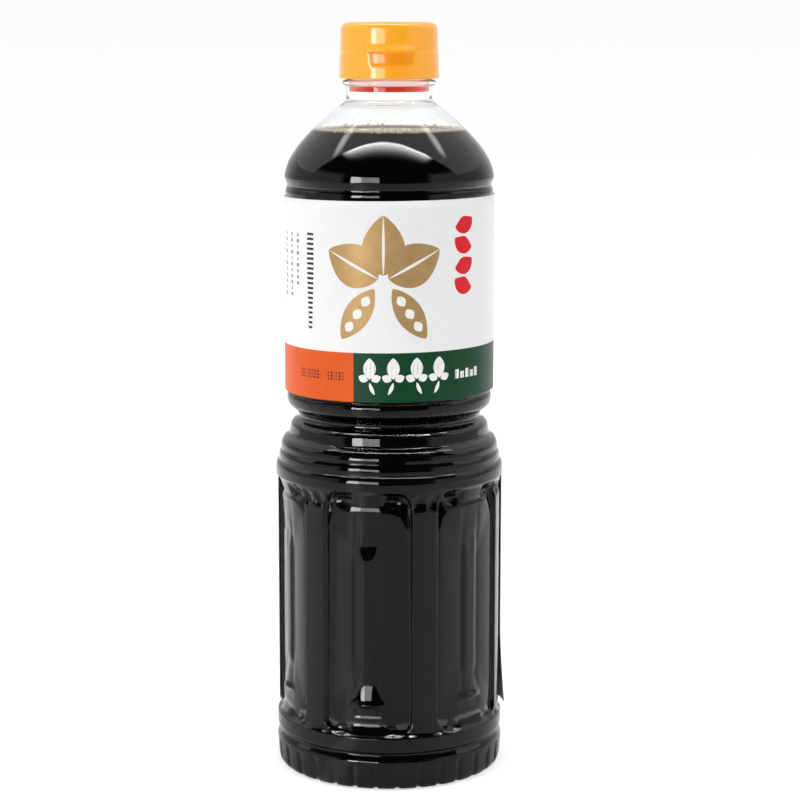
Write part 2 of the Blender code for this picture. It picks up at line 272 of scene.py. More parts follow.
def skin(name, bands, poles=None):
    """A closed mesh of bands of rows round the axis, each row joined to the next.

    Poles, two heights, close the first and last rows to points on the axis. With none, the last row joins
    the first.
    """
    counts = [band.shape[0] * band.shape[1] for band in bands]
    starts = np.cumsum([0] + counts[:-1])
    rows = [row for band, start, count in zip(bands, starts, counts)
            for row in np.arange(start, start + count).reshape(band.shape[:2])]
    points = np.concatenate([band.reshape(-1, 3) for band in bands])
    faces = [face for before, after in zip(rows, rows[1:]) for face in bridge(before, after)]
    if poles is None:
        faces += bridge(rows[-1], rows[0])
    else:
        first, last = len(points), len(points) + 1
        points = np.concatenate((points, [(AXIS_X, 0, poles[0] * MM), (AXIS_X, 0, poles[1] * MM)]))
        start, end = rows[0], rows[-1]
        faces += np.stack((np.roll(start, -1), start, 0 * start + first), axis=-1).tolist()
        faces += np.stack((end, np.roll(end, -1), 0 * end + last), axis=-1).tolist()
    return drawn(name, points, faces)


def drawn(name, points, faces):
    """A new smooth-shaded object with these points and faces, at the origin."""
    mesh = bpy.data.meshes.new(name)
    mesh.from_pydata(points.tolist(), [], faces)
    mesh.update()
    mesh.shade_smooth()
    piece = bpy.data.objects.new(name, mesh)
    bpy.context.scene.collection.objects.link(piece)
    return piece


def placed(piece, material, slot, *replaced):
    """Gives a piece its material and its ride, and hides the solids that it stands for; the slot is not used.
    """
    piece.data.materials.append(material)
    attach(piece, "root")
    if replaced:
        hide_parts(*replaced)
    return piece


def linear(hex_colour):
    """An sRGB hex colour as a linear one with full alpha."""
    values = np.array([int(hex_colour[i : i + 2], 16) for i in (1, 3, 5)]) / 255
    bent = np.where(values <= 0.04045, values / 12.92, ((values + 0.055) / 1.055) ** 2.4)
    return (*bent.tolist(), 1.0)


def add(tree, kind, settings, **links):
    """Adds a node, sets its attributes and sockets by name, and links sockets by name or by _number."""
    made = tree.nodes.new(kind)
    for name, value in settings.items():
        if name in made.inputs:
            made.inputs[name].default_value = value
        else:
            setattr(made, name, value)
    for name, source in links.items():
        socket = made.inputs[int(name[1:])] if name[0] == "_" else made.inputs[name.replace("_", " ")]
        tree.links.new(source, socket)
    return made


def combined(tree, operation, first, second=None):
    """One value, or two, put through an operation; the second may be a plain number."""
    made = add(tree, "ShaderNodeMath", {"operation": operation}, _0=first)
    if isinstance(second, (int, float)):
        made.inputs[1].default_value = second
    elif second is not None:
        tree.links.new(second, made.inputs[1])
    return made.outputs[0]


def mottled(tree, place, dark, light, scale, detail=2.0):
    """A colour that wanders between two hex colours in cloudy spots, so many of them to the metre."""
    noise = add(tree, "ShaderNodeTexNoise", {"Scale": scale, "Detail": detail}, Vector=place)
    tint = add(tree, "ShaderNodeMix", {"data_type": "RGBA"}, _0=noise.outputs["Fac"])
    tint.inputs[6].default_value = linear(dark)
    tint.inputs[7].default_value = linear(light)
    return tint.outputs[2]


def finish_of(name, settings):
    """A new material: its tree, its Principled BSDF with these settings, and the Object coordinates."""
    material = bpy.data.materials.new(name)
    material.use_nodes = True
    tree = material.node_tree
    shader = tree.nodes["Principled BSDF"]
    for socket, value in settings.items():
        shader.inputs[socket].default_value = value
    place = add(tree, "ShaderNodeTexCoord", {}).outputs["Object"]
    return material, tree, shader, place


def clear_pet():
    """Blown PET: glass-clear and glossy, with a faint ripple, 12 mm between crests."""
    material, tree, shader, place = finish_of("stretch_blown_pet", {
        "Base Color": linear("#FBFCFC"), "Roughness": 0.0, "IOR": 1.575, "Transmission Weight": 1.0,
    })
    ripple = add(tree, "ShaderNodeTexNoise", {"Scale": 85.0, "Detail": 1.0}, Vector=place)
    bump = add(tree, "ShaderNodeBump", {"Strength": 0.05, "Distance": 0.001}, Height=ripple.outputs["Fac"])
    tree.links.new(bump.outputs["Normal"], shader.inputs["Normal"])
    return material


foot_corners = (
    (18.0, 4.2, 0), (33.4, 0.0, 1.5), (40.3, 0.0, 2.6), (41.05, 10.4, 0.7),
    (39.9, 12.4, 0.3), (39.9, 13.0, 0.3), (40.9, 14.3, 0.9), (40.9, 16.0, 0),
)
foot_profile = filled(rounded(foot_corners, steps=4), 1.8)
ring_corners = (
    (41.0, FLUTE_HEAD + 0.3, 0), (41.0, 110.6, 0.9), (40.3, 112.0, 0.25), (39.8, 112.25, 0.25),
    (39.8, 114.7, 0.8), (39.2, 115.95, 0.25), (39.05, 116.2, 0.2), (39.05, 118.5, 0.9),
    (37.9, 120.3, 0.3), (36.15, 121.6, 0.35), (35.9, 122.4, 0.4), (35.45, 125.2, 0.5),
    (34.6, 126.3, 0.35), (32.75, 127.6, 0.7), (32.75, 129.2, 0.8), (36.3, 132.4, 1.0),
    (36.75, 134.0, 0.8), (36.75, 135.8, 0.7), (35.9, 137.2, 0.3), (PANEL_RADIUS, 137.7, 0.2),
    (PANEL_RADIUS, 208.6, 0.6), (36.4, 209.9, 0.5), (36.45, 210.7, 0.5), (37.2, 212.6, 0.9),
    (37.2, 213.4, 0),
)
ring_profile = rounded(ring_corners)


def shoulder_curve(steps):
    """The shoulder's outline, a cubic curve from the top of the panel to the foot of the neck."""
    foot, foot_pull, head_pull, head = np.array(((37.2, 212.8), (37.2, 220.8), (26.8, 231.1), SHOULDER_END))
    t = np.linspace(0.03, 1, steps)[:, None]
    lower = (1 - t) ** 3 * foot + 3 * t * (1 - t) ** 2 * foot_pull
    return lower + 3 * t * t * (1 - t) * head_pull + t**3 * head


neck_corners = (
    (*SHOULDER_END, 0), (NECK_RADIUS, NECK_FOOT, 0.5), (NECK_RADIUS, NECK_TOP, 0.3), (16.2, 245.1, 0.4),
    (16.55, 245.95, 0.5), (16.2, 246.9, 0.5), (14.9, 247.1, 0.2), (14.9, 252.0, 0.3),
    (BORE_RADIUS, 252.0, 0.3), (BORE_RADIUS, 247.8, 0.3), (14.4, 247.0, 0.3), (14.4, 241.2, 0.5),
    (14.7, 239.9, 0),
)
upper_profile = np.concatenate((ring_profile, shoulder_curve(23), rounded(neck_corners)[1:]))
flute_heights = np.concatenate((
    (FLUTE_FOOT - 0.2,), np.arange(FLUTE_FOOT, 27.0, 0.38), (28.0,), np.arange(29, 33, 0.38),
    np.arange(33, 42.5, 0.85), np.arange(43, 80, 7), np.arange(80, 91, 0.95), np.arange(91.5, 97, 2.0),
    np.arange(97.4, 107.4, 0.43),
))
pillar_stations = (FLUTE_FOOT, 20.0, 25.7, 99.5, 105.7, FLUTE_HEAD)
pillar_radius = eased(flute_heights, pillar_stations, (40.9, 40.15, 39.95, 39.95, 40.1, 41.0), 0.35)
pillar_profile = np.stack((pillar_radius, flute_heights), axis=1)
fine = crowded(64)
coarse = fine[::2]
foot_azimuths = fine[0] + even(fine.size)
inside_shoulder = shoulder_curve(11)[::-1] - np.array((WALL, 0))
inside_heights = np.array((209.0, 170.0, 139.0, 131.5, 128.5, 124.0, 121.0, 116.0))
inside_rings = np.stack((
    np.interp(inside_heights, ring_profile[:, 1], ring_profile[:, 0]) - WALL - 0.25, inside_heights
), axis=1)
inside_flute_heights = np.array((
    108.0, 106.0, 103.2, 101.3, 99.0, 88.2, 82.0, 42.0, 38.3, 33.0, 31.5, 29.0, 25.7, 20.4,
))
inside_pillars = np.stack((0 * inside_flute_heights + 39.9 - WALL, inside_flute_heights), axis=1)
inside_foot = np.array((
    (39.3, 16.0), (39.2, 13.0), (38.2, 2.2), (36.8, WALL + 0.1), (33.4, WALL + 0.1), (18.0, 4.75),
))

shell = skin("bottle_shell", [
    around(foot_profile, foot_azimuths, notch_depth(foot_azimuths, foot_profile[:, 1:])),
    around(pillar_profile, fine, flute_depth(fine, flute_heights[:, None])),
    around(upper_profile, coarse),
    around(np.concatenate((inside_shoulder, inside_rings)), coarse),
    around(inside_pillars, coarse, flute_depth(coarse, inside_pillars[:, 1:])),
    around(inside_foot, coarse),
], poles=(DOME_HEIGHT, DOME_HEIGHT + WALL))
placed(shell, clear_pet(), "clear_pet", "bottle")


# Soy sauce
# Dark brewed sauce that fills the bottle to the shoulder. It wets the wall, so it is drawn reaching just into
# the PET, and only the outer face of the PET shines. Its surface creeps a millimetre up the wall all round.

SAUCE_LEVEL = 229.0
CREEP = 1.1
REACH = 0.3


def dark_sauce():
    """Soy sauce in bulk: a red-brown so deep that it reads as black, with no shine of its own in the wall."""
    material, tree, shader, place = finish_of("soy_sauce_in_bulk", {
        "Roughness": 0.4, "IOR": 1.37, "Specular IOR Level": 0.0,
    })
    tree.links.new(mottled(tree, place, "#060303", "#0B0605", 30.0), shader.inputs["Base Color"])
    return material


def sauce_surface_finish():
    """The sauce's open surface: smooth and brown, and pale where it thins, partly the thin sauce's own colour
    and partly painted light for the light that comes through it. The colour also glows, a painted glow.
    """
    material, tree, shader, place = finish_of("soy_sauce_surface", {
        "Roughness": 0.02, "IOR": 1.37, "Emission Strength": 0.4,
    })
    height = add(tree, "ShaderNodeSeparateXYZ", {}, Vector=place).outputs["Z"]
    creep = add(tree, "ShaderNodeMapRange", {
        "From Min": (SAUCE_LEVEL + 0.1) * MM, "From Max": (SAUCE_LEVEL + CREEP) * MM,
    }, Value=height)
    tint = add(tree, "ShaderNodeMix", {"data_type": "RGBA"}, _0=creep.outputs["Result"])
    tint.inputs[6].default_value = linear("#2E190D")
    tint.inputs[7].default_value = linear("#E8DCC0")
    tree.links.new(tint.outputs[2], shader.inputs["Base Color"])
    # The colour glows too: a painted glow for light that comes through the thin sauce.
    tree.links.new(tint.outputs[2], shader.inputs["Emission Color"])
    return material


outer_foot = foot_profile - np.array((REACH, 0))
outer_foot[:, 1] = np.maximum(outer_foot[:, 1], REACH)
sauce_upper = np.concatenate((ring_profile, shoulder_curve(30)))
sauce_upper = sauce_upper[sauce_upper[:, 1] < SAUCE_LEVEL] - np.array((REACH, 0))
rim_radius = np.interp(SAUCE_LEVEL, shoulder_curve(60)[:, 1], shoulder_curve(60)[:, 0]) - REACH
sauce_upper = np.concatenate((sauce_upper, ((rim_radius, SAUCE_LEVEL),)))
body = skin("sauce_body", [
    around(outer_foot, foot_azimuths, notch_depth(foot_azimuths, foot_profile[:, 1:])),
    around(pillar_profile - np.array((REACH, 0)), fine, flute_depth(fine, flute_heights[:, None])),
    around(sauce_upper, coarse),
], poles=(4.7, SAUCE_LEVEL))
placed(body, dark_sauce(), "soy_sauce_liquid", "soy_sauce")

creep_fall = np.linspace(1, 0, 14)[:, None] ** 2
creep_height = SAUCE_LEVEL + 0.05 + CREEP * creep_fall
creep_radius = np.interp(creep_height, shoulder_curve(60)[:, 1], shoulder_curve(60)[:, 0]) - REACH
creep_radius = creep_radius - 3.0 * (1 - creep_fall)
rim_low = np.array(((rim_radius + 0.02, SAUCE_LEVEL - 0.3),))
creep = np.concatenate((creep_radius, creep_height), axis=1)
surface_profile = np.concatenate((rim_low, creep, ((8.0, SAUCE_LEVEL + 0.05),)))
surface_poles = SAUCE_LEVEL - 0.3, SAUCE_LEVEL + 0.05
surface = skin("sauce_surface", [around(surface_profile, coarse)], poles=surface_poles)
placed(surface, sauce_surface_finish(), "soy_sauce_liquid")


# Froth and drops
# Small bubbles of sauce stand in a broken ring along its edge, and a few drops cling to the clear wall over
# it, left from when the bottle was last moved.


def beads(name, azimuth, height, size, depth):
    """Many small spheres at once: each stands on the inside of the wall at its azimuth and height."""
    sides = 8
    curve = np.concatenate((shoulder_curve(60), ((NECK_RADIUS, NECK_FOOT), (NECK_RADIUS, NECK_TOP))))
    radius = np.interp(height, curve[:, 1], curve[:, 0]) - depth
    centres = turned(radius, np.radians(azimuth), height)
    around_bead = np.linspace(0, 2 * math.pi, sides, endpoint=False)
    up_bead = np.radians((-55, -20, 20, 55))[:, None]
    ring_x = np.cos(up_bead) * np.cos(around_bead)
    ring_y = np.cos(up_bead) * np.sin(around_bead)
    ring_z = np.sin(up_bead) + 0 * around_bead
    rings = np.stack((ring_x, ring_y, ring_z), axis=-1).reshape(-1, 3)
    unit = np.concatenate((rings, ((0, 0, -1), (0, 0, 1))))
    rows = np.arange(len(rings)).reshape(-1, sides)
    faces = [face for low, high in zip(rows, rows[1:]) for face in bridge(low, high)]
    faces += np.stack((np.roll(rows[0], -1), rows[0], 0 * rows[0] + len(rings)), axis=-1).tolist()
    faces += np.stack((rows[-1], np.roll(rows[-1], -1), 0 * rows[-1] + len(rings) + 1), axis=-1).tolist()
    points = centres[:, None] + unit[None] * size[:, None, None]
    every = [[corner + len(unit) * k for corner in face] for k in range(len(size)) for face in faces]
    return drawn(name, in_frame(points.reshape(-1, 3)), every)


def bubble_finish():
    """Froth of soy sauce: thin golden bubble walls, paler in spots, which glow with a painted glow for the
    light that comes through them.
    """
    material, tree, shader, place = finish_of("soy_froth", {
        "Roughness": 0.12, "IOR": 1.3, "Emission Strength": 0.4,
    })
    golden = mottled(tree, place, "#9E7E2E", "#FFF9DC", 900.0)
    tree.links.new(golden, shader.inputs["Base Color"])
    # The pale cream spots are partly the froth's own tone and partly painted highlights; the emission is a
    # painted glow.
    tree.links.new(golden, shader.inputs["Emission Color"])
    return material


FROTH_DEPTH = 0.85
FROTH_SIZES = 0.24, 0.5
DROP_DEPTH = 0.6
DROP_SIZES = 0.08, 0.2
DROP_HEIGHTS = 231.0, 233.6
rng = np.random.default_rng(7)
froth_azimuth = np.concatenate((
    rng.uniform(-44, -24, 44), rng.uniform(-14, 40, 130), rng.uniform(60, 300, 110),
))
froth_height = SAUCE_LEVEL + rng.uniform(0.0, 1.5, froth_azimuth.size)
froth_size = rng.uniform(*FROTH_SIZES, froth_azimuth.size)
froth = beads("froth_beads", froth_azimuth, froth_height, froth_size, FROTH_DEPTH)
placed(froth, bubble_finish(), "soy_sauce_liquid")

drop_azimuth = np.concatenate((rng.uniform(-40, 30, 26), rng.uniform(60, 300, 30)))
drop_height = rng.uniform(*DROP_HEIGHTS, drop_azimuth.size)
drop_size = rng.uniform(*DROP_SIZES, drop_azimuth.size)
drops = beads("wall_drops", drop_azimuth, drop_height, drop_size, DROP_DEPTH)


def drop_finish():
    """A thin film of soy sauce on the wall: brown, wet and partly clear."""
    material, tree, shader, place = finish_of("soy_sauce_film", {
        "Roughness": 0.05, "IOR": 1.37, "Transmission Weight": 0.5,
    })
    tree.links.new(mottled(tree, place, "#7A4A22", "#C79A5A", 400.0), shader.inputs["Base Color"])
    return material


placed(drops, drop_finish(), "soy_sauce_liquid")


# Pouring insert
# A polyethylene plug pressed into the neck, which controls the pour. Its red skirt shows through the clear
# PET under the support ring, and what stands over the skirt is pale.

SKIRT_TOP = 245.3


def red_insert():
    """Injection-moulded polyethylene: waxy, red below and undyed above, with a painted glow for the light
    that the clear neck lets in.
    """
    material, tree, shader, place = finish_of("moulded_red_polyethylene", {
        "Roughness": 0.35, "IOR": 1.51, "Specular IOR Level": 0.3, "Emission Strength": 0.62,
    })
    red_dye = mottled(tree, place, "#DE2502", "#E83008", 260.0)
    height = add(tree, "ShaderNodeSeparateXYZ", {}, Vector=place).outputs["Z"]
    undyed = add(tree, "ShaderNodeMapRange", {
        "From Min": SKIRT_TOP * MM, "From Max": (SKIRT_TOP + 0.2) * MM,
    }, Value=height)
    dyed_and_glowing = add(tree, "ShaderNodeMix", {"data_type": "RGBA"}, _0=undyed.outputs["Result"], _6=red_dye)
    dyed_and_glowing.inputs[7].default_value = linear("#F8F1EA")
    tree.links.new(dyed_and_glowing.outputs[2], shader.inputs["Base Color"])
    # The same colour also glows: a painted glow, not a lamp.
    tree.links.new(dyed_and_glowing.outputs[2], shader.inputs["Emission Color"])
    return material


plug_corners = (
    (12.6, 242.9, 0), (14.2, 242.9, 0.3), (14.2, 245.2, 0.2), (13.25, 245.4, 0.2), (13.25, 251.4, 0.2),
    (12.05, 251.4, 0.2), (12.05, 242.9, 0.25), (12.5, 242.9, 0),
)
plug = skin("pouring_insert", [around(rounded(plug_corners), even(96))])
placed(plug, red_insert(), "red_plug", "pour_plug")


# Flip-top cap
# A shut cap moulded in one piece of yellow polypropylene: a tapered drum with a soft upper edge, a thin seam
# where the lid meets the collar, and a thumb tab over a shallow finger recess. The seam stops short of the
# hinge at the back.

CAP_BOTTOM = 247.4
CAP_RADIUS = 17.65
CAP_TAPER = 0.0357
CAP_TOP = 267.0
SEAM = 256.6
TAB_CENTRE = 3.2
TAB_HALF = 28.3
TAB_REACH = 1.2
RECESS_DEPTH = 0.5
HINGE_HALF = 20.0
SEAM_DEPTH = 0.09


def yellow_cap():
    """Moulded polypropylene: a warm yellow under a glossy skin, with a faint painted glow that stands for the
    light inside it.

    In the finger recess the yellow is painted a deeper orange: painted shade and bounced light, for the light
    that goes from wall to wall there.
    """
    material, tree, shader, place = finish_of("moulded_yellow_polypropylene", {
        "Roughness": 0.34, "IOR": 1.55, "Subsurface Weight": 0.12, "Subsurface Scale": 0.0015,
        "Subsurface Radius": (1.0, 0.5, 0.1), "Coat Weight": 1.0, "Coat Roughness": 0.04, "Coat IOR": 1.5,
        # The emission is a painted glow, for light that passes into the yellow plastic.
        "Emission Color": linear("#FF9A00"), "Emission Strength": 0.15,
    })
    yellow = mottled(tree, place, "#FFA81C", "#FFB226", 120.0, detail=3.0)
    # The finger recess is found from how far the surface stands inside the tapered drum, and is painted
    # orange there: painted shade and bounced light.
    parts = add(tree, "ShaderNodeSeparateXYZ", {}, Vector=place)
    across = combined(tree, "POWER", combined(tree, "SUBTRACT", parts.outputs["X"], AXIS_X), 2.0)
    along = combined(tree, "POWER", parts.outputs["Y"], 2.0)
    radius = combined(tree, "SQRT", combined(tree, "ADD", across, along))
    up = combined(tree, "SUBTRACT", parts.outputs["Z"], CAP_BOTTOM * MM)
    outside = combined(tree, "ADD", radius, combined(tree, "MULTIPLY", up, CAP_TAPER))
    hollow = add(tree, "ShaderNodeMapRange", {
        "From Min": (CAP_RADIUS - 0.1) * MM, "From Max": (CAP_RADIUS - 0.5) * MM,
    }, Value=outside)
    under_seam = combined(tree, "LESS_THAN", parts.outputs["Z"], (SEAM + 0.1) * MM)
    in_recess = combined(tree, "MULTIPLY", hollow.outputs[0], under_seam)
    recess_painted_shade = add(tree, "ShaderNodeMix", {"data_type": "RGBA"}, _0=in_recess, _6=yellow)
    recess_painted_shade.inputs[7].default_value = linear("#FF9A10")
    tree.links.new(recess_painted_shade.outputs[2], shader.inputs["Base Color"])
    grain = add(tree, "ShaderNodeTexNoise", {"Scale": 2500.0, "Detail": 2.0}, Vector=place)
    bump = add(tree, "ShaderNodeBump", {"Strength": 0.08, "Distance": 0.0001}, Height=grain.outputs["Fac"])
    tree.links.new(bump.outputs["Normal"], shader.inputs["Normal"])
    return material


def cap_relief(azimuth, height):
    """How far the drum stands back at the seam and in the recess, less how far the tab's wedge sticks out."""
    from_tab = np.abs((azimuth - TAB_CENTRE + 180) % 360 - 180)
    from_hinge = np.abs(azimuth % 360 - 180)
    on_tab = eased(from_tab, (TAB_HALF - 1.2, TAB_HALF), (1, 0), 0.5)
    wedge = TAB_REACH * on_tab * eased(height, (SEAM - 0.1, SEAM + 0.3, SEAM + 2.7), (0, 1, 0), 0.25)
    recess_half = TAB_HALF - 0.6 * (SEAM - height)
    in_recess = eased(recess_half - from_tab, (0, 4.5), (0, 1), 1.0)
    recess_levels = (251.3, 252.7, SEAM - 0.2, SEAM + 0.05)
    recess = RECESS_DEPTH * in_recess * eased(height, recess_levels, (0, 1, 1, 0), 0.2)
    off_hinge = np.clip((from_hinge - HINGE_HALF) / 1.5, 0, 1) * (1 - on_tab)
    seam = SEAM_DEPTH * off_hinge * eased(np.abs(height - SEAM), (0.05, 0.25), (1, 0), 0.05)
    return recess + seam - wedge


cap_corners = (
    (16.4, 265.4, 0), (16.3, CAP_BOTTOM, 0.3), (CAP_RADIUS, CAP_BOTTOM, 0.3), (17.63, 248.0, 0),
)
cap_low = rounded(cap_corners, steps=6)
crown_corners = ((17.2, 259.9, 0), (16.95, CAP_TOP, 2.9), (8.0, CAP_TOP - 0.05, 0))
cap_high = rounded(crown_corners, steps=14)
drum_heights = np.sort(np.concatenate((np.arange(248.2, 259.8, 0.35), SEAM + np.linspace(-0.3, 0.4, 15))))
drum = np.stack((CAP_RADIUS - (drum_heights - CAP_BOTTOM) * CAP_TAPER, drum_heights), axis=1)
cap_columns = even(288)
cap = skin("flip_cap", [
    around(cap_low, cap_columns),
    around(drum, cap_columns, cap_relief(cap_columns, drum[:, 1:])),
    around(cap_high, cap_columns),
], poles=(265.4, 266.95))
placed(cap, yellow_cap(), "yellow_cap", "cap")


# Printed sleeve
# A white film label wrapped round the plain panel and glued along the back. It is gravure-printed with a band
# of orange and green, a gold soybean sprig, red beans, and fine bars where small print would stand.

SLEEVE_RADIUS = 37.4
SLEEVE_BOTTOM = 137.9
SLEEVE_TOP = 206.9
SLEEVE_TILT = math.tan(math.radians(0.5))
INK = 0.03


def on_sleeve(along, up, proud=0.0):
    """Points on the slightly tilted sleeve, from millimetres along it from the front and heights."""
    azimuth = along / SLEEVE_RADIUS + 0 * up
    radius = SLEEVE_RADIUS + proud
    height = up + SLEEVE_TILT * SLEEVE_RADIUS * np.sin(azimuth)
    return turned(radius, azimuth, height)


def patch(name, grids, surface, proud=INK):
    """One mesh of many small grids of (along, up) points, each laid on a surface function."""
    points, faces, start = [], [], 0
    for grid in grids:
        rows, columns_here = grid.shape[:2]
        numbers = start + np.arange(rows * columns_here).reshape(rows, columns_here)
        corners = (numbers[:-1, :-1], numbers[:-1, 1:], numbers[1:, 1:], numbers[1:, :-1])
        faces += np.stack(corners, axis=-1).reshape(-1, 4).tolist()
        points.append(surface(grid[..., 0], grid[..., 1], proud).reshape(-1, 3))
        start += rows * columns_here
    return drawn(name, in_frame(np.concatenate(points)), faces)


def field(left, right, bottom, top):
    """A plain rectangle of ink, in steps of under 2 mm along the sleeve."""
    along = np.linspace(left, right, int((right - left) / 1.5) + 2)
    up = np.linspace(bottom, top, int((top - bottom) / 6) + 2)
    return np.stack(np.meshgrid(along, up), axis=-1)


def ahead(base, heading, reach):
    """The point at this reach from the base, along a heading in degrees."""
    turn = math.radians(heading)
    return base[0] + reach * math.cos(turn), base[1] + reach * math.sin(turn)


def blade(base, heading, length, half, bend=0.0, tip=1.0, sides=(-1, 1)):
    """A leaf, a pod or a bean: a centre line that turns evenly by the bend, with a width that swells.

    The widest place is where the share of the length, raised to the tip, is a half. Sides take one half of a
    leaf alone, so that its midrib stays bare.
    """
    s = np.linspace(0, 1, 31)
    turn = np.radians(heading) + np.radians(bend) * (s - 0.5)
    step = length / 30
    across = base[0] + np.concatenate(([0], np.cumsum(np.cos(turn[:-1])))) * step
    rise = base[1] + np.concatenate(([0], np.cumsum(np.sin(turn[:-1])))) * step
    width = half * np.sin(math.pi * s**tip) ** 0.75
    t = np.linspace(sides[0], sides[1], 9)[:, None]
    return np.stack((across - t * width * np.sin(turn), rise + t * width * np.cos(turn)), axis=-1)


def greeked(centre, top, bottom, width, gap, bar):
    """A column of short bars that stands for a line of small upright print."""
    heights = np.arange(top, bottom, -gap)
    lengths = width * (0.7 + 0.3 * np.sin(7.3 * heights))
    return [field(centre - length / 2, centre + length / 2, height - bar, height)
            for height, length in zip(heights, lengths)]


def printed_finish(name, dark, light, metallic=0.0, roughness=0.38):
    """Ink on film or coated paper: an even colour with the rollers' faint mottle, under a soft gloss.

    The label isn't quite flat: low waves, about 15 mm from crest to crest, break up what it mirrors.
    """
    material, tree, shader, place = finish_of(name, {
        "Roughness": roughness, "IOR": 1.5, "Specular IOR Level": 0.25, "Metallic": metallic,
    })
    waves = add(tree, "ShaderNodeTexNoise", {"Scale": 65.0, "Detail": 1.0}, Vector=place)
    bump = add(tree, "ShaderNodeBump", {"Strength": 0.3, "Distance": 0.001}, Height=waves.outputs["Fac"])
    tree.links.new(bump.outputs["Normal"], shader.inputs["Normal"])
    tree.links.new(mottled(tree, place, dark, light, 220.0, detail=4.0), shader.inputs["Base Color"])
    return material


sleeve_heights = np.linspace(SLEEVE_BOTTOM, SLEEVE_TOP, 24)
sleeve_along = np.radians(np.arange(360)) * SLEEVE_RADIUS
outer = on_sleeve(sleeve_along[None], sleeve_heights[:, None])
inner = on_sleeve(sleeve_along[None], sleeve_heights[::-1, None], -0.25)
sleeve = skin("printed_sleeve", [in_frame(outer), in_frame(inner)])
placed(sleeve, printed_finish("white_label_film", "#ECECEA", "#F2F2F1"), "printed_film", "front_label")

BAND_TOP = 155.0
BAND_SPLIT = -12.5
BACK_SEAM = math.pi * SLEEVE_RADIUS
orange = patch("print_orange", [field(-BACK_SEAM, BAND_SPLIT, SLEEVE_BOTTOM, BAND_TOP)], on_sleeve)
placed(orange, printed_finish("orange_gravure_ink", "#DC5512", "#E25E1A"), "printed_film")
green = patch("print_green", [field(BAND_SPLIT, BACK_SEAM, SLEEVE_BOTTOM, BAND_TOP)], on_sleeve)
placed(green, printed_finish("green_gravure_ink", "#083F25", "#0C4629"), "printed_film")

GOLD_ALONG = -2.0
GOLD_UP = 181.1
MIDRIB = 0.07
POD_LEANS = (-124, -56)
sprig = []
for heading in (90, 28, 152):
    base = ahead((GOLD_ALONG, GOLD_UP - 1.5), heading, 2.0)
    sprig += [blade(base, heading, 20.5, 7.4, tip=0.85, sides=side) for side in ((-1, -MIDRIB), (MIDRIB, 1))]
pod_bases = [(GOLD_ALONG + lean, GOLD_UP - 4.0) for lean in (-3.2, 3.2)]
for base, lean in zip(pod_bases, POD_LEANS):
    sprig.append(blade(base, lean, 21.0, 4.6))
gold = patch("print_gold", sprig, on_sleeve)
placed(gold, printed_finish("gold_gravure_ink", "#B8925F", "#D0AC76", metallic=0.35), "printed_film")

RED_ALONG = 28.4
RED_LENGTH = 8.8
red_beans = [
    blade(ahead((RED_ALONG, up), lean, -RED_LENGTH / 2), lean, RED_LENGTH, 3.0, bend=50)
    for up, lean in ((199.0, 22), (192.0, -22), (185.0, 22), (178.0, -22))
]
red = patch("print_red", red_beans, on_sleeve)
placed(red, printed_finish("red_gravure_ink", "#DA1220", "#E21E2C"), "printed_film")

TREFOILS_ALONG = (-6.8, 1.4, 9.6, 17.8)
TREFOIL_LEAVES = ((90, 7.4, 2.2), (24, 3.5, 1.35), (156, 3.5, 1.35))
trefoils = [
    blade(ahead((along, 145.2), lean, 0.7), lean, length, half)
    for along in TREFOILS_ALONG for lean, length, half in TREFOIL_LEAVES
]
stems = [blade((along, 144.8), -90 + turn, 4.6, 0.65, bend=turn)
         for along, turn in zip(TREFOILS_ALONG, (24, -24, 24, -24))]
pod_beans = [
    blade(ahead(base, lean, reach), lean, 4.0, 1.6)
    for base, lean in zip(pod_bases, POD_LEANS) for reach in (3.2, 8.5, 13.8)
]
small_white = [
    field(left, left + 1.7, 144.9, 148.1 - 0.8 * (k % 2))
    for k, left in enumerate(np.arange(24.5, 35.6, 2.4))
]
white = patch("print_white", trefoils + stems + small_white, on_sleeve)
WHITE_INK = printed_finish("white_gravure_ink", "#EDEDE9", "#F4F4F1")
placed(white, WHITE_INK, "printed_film")
beans = patch("print_pod_beans", pod_beans, on_sleeve, proud=2 * INK)
placed(beans, WHITE_INK, "printed_film")

dark_marks = greeked(-30.5, 195.5, 162.0, 3.4, 1.7, 0.8)
dark_marks += [field(left, left + 2.9, up, up + 0.7) for left in (-36.0, -32.4, -28.8, -22.6, -19.2)
               for up in (145.2, 146.3, 147.4)]
dark = patch("print_dark", dark_marks, on_sleeve)
placed(dark, printed_finish("dark_gravure_ink", "#2A2422", "#332C29"), "printed_film")

grey_marks = []
for centre, bottom in ((-37.8, 178), (-42.4, 172), (-47.8, 172), (-54, 168), (-60, 168)):
    grey_marks += greeked(centre, 195, bottom, 1.7, 2.1, 1.2)
grey = patch("print_grey", grey_marks, on_sleeve)
placed(grey, printed_finish("grey_gravure_ink", "#8B8B8A", "#979796"), "printed_film")


# Back label
# A coated paper sheet glued over the flutes of the back, from the right side round to the left, its lower
# corner at the right lifted off. It carries a coloured head and rows of bars where directions would stand.

SHEET_RADIUS = 40.45
SHEET_START = 88.0
SHEET_END = 265.0
SHEET_BOTTOM = 20.6
SHEET_TOP = 105.7
SHEET_THICK = 0.25
PEEL_REACH = 42.4
PEEL_DEGREES = 20
PEEL_HEIGHT = 29


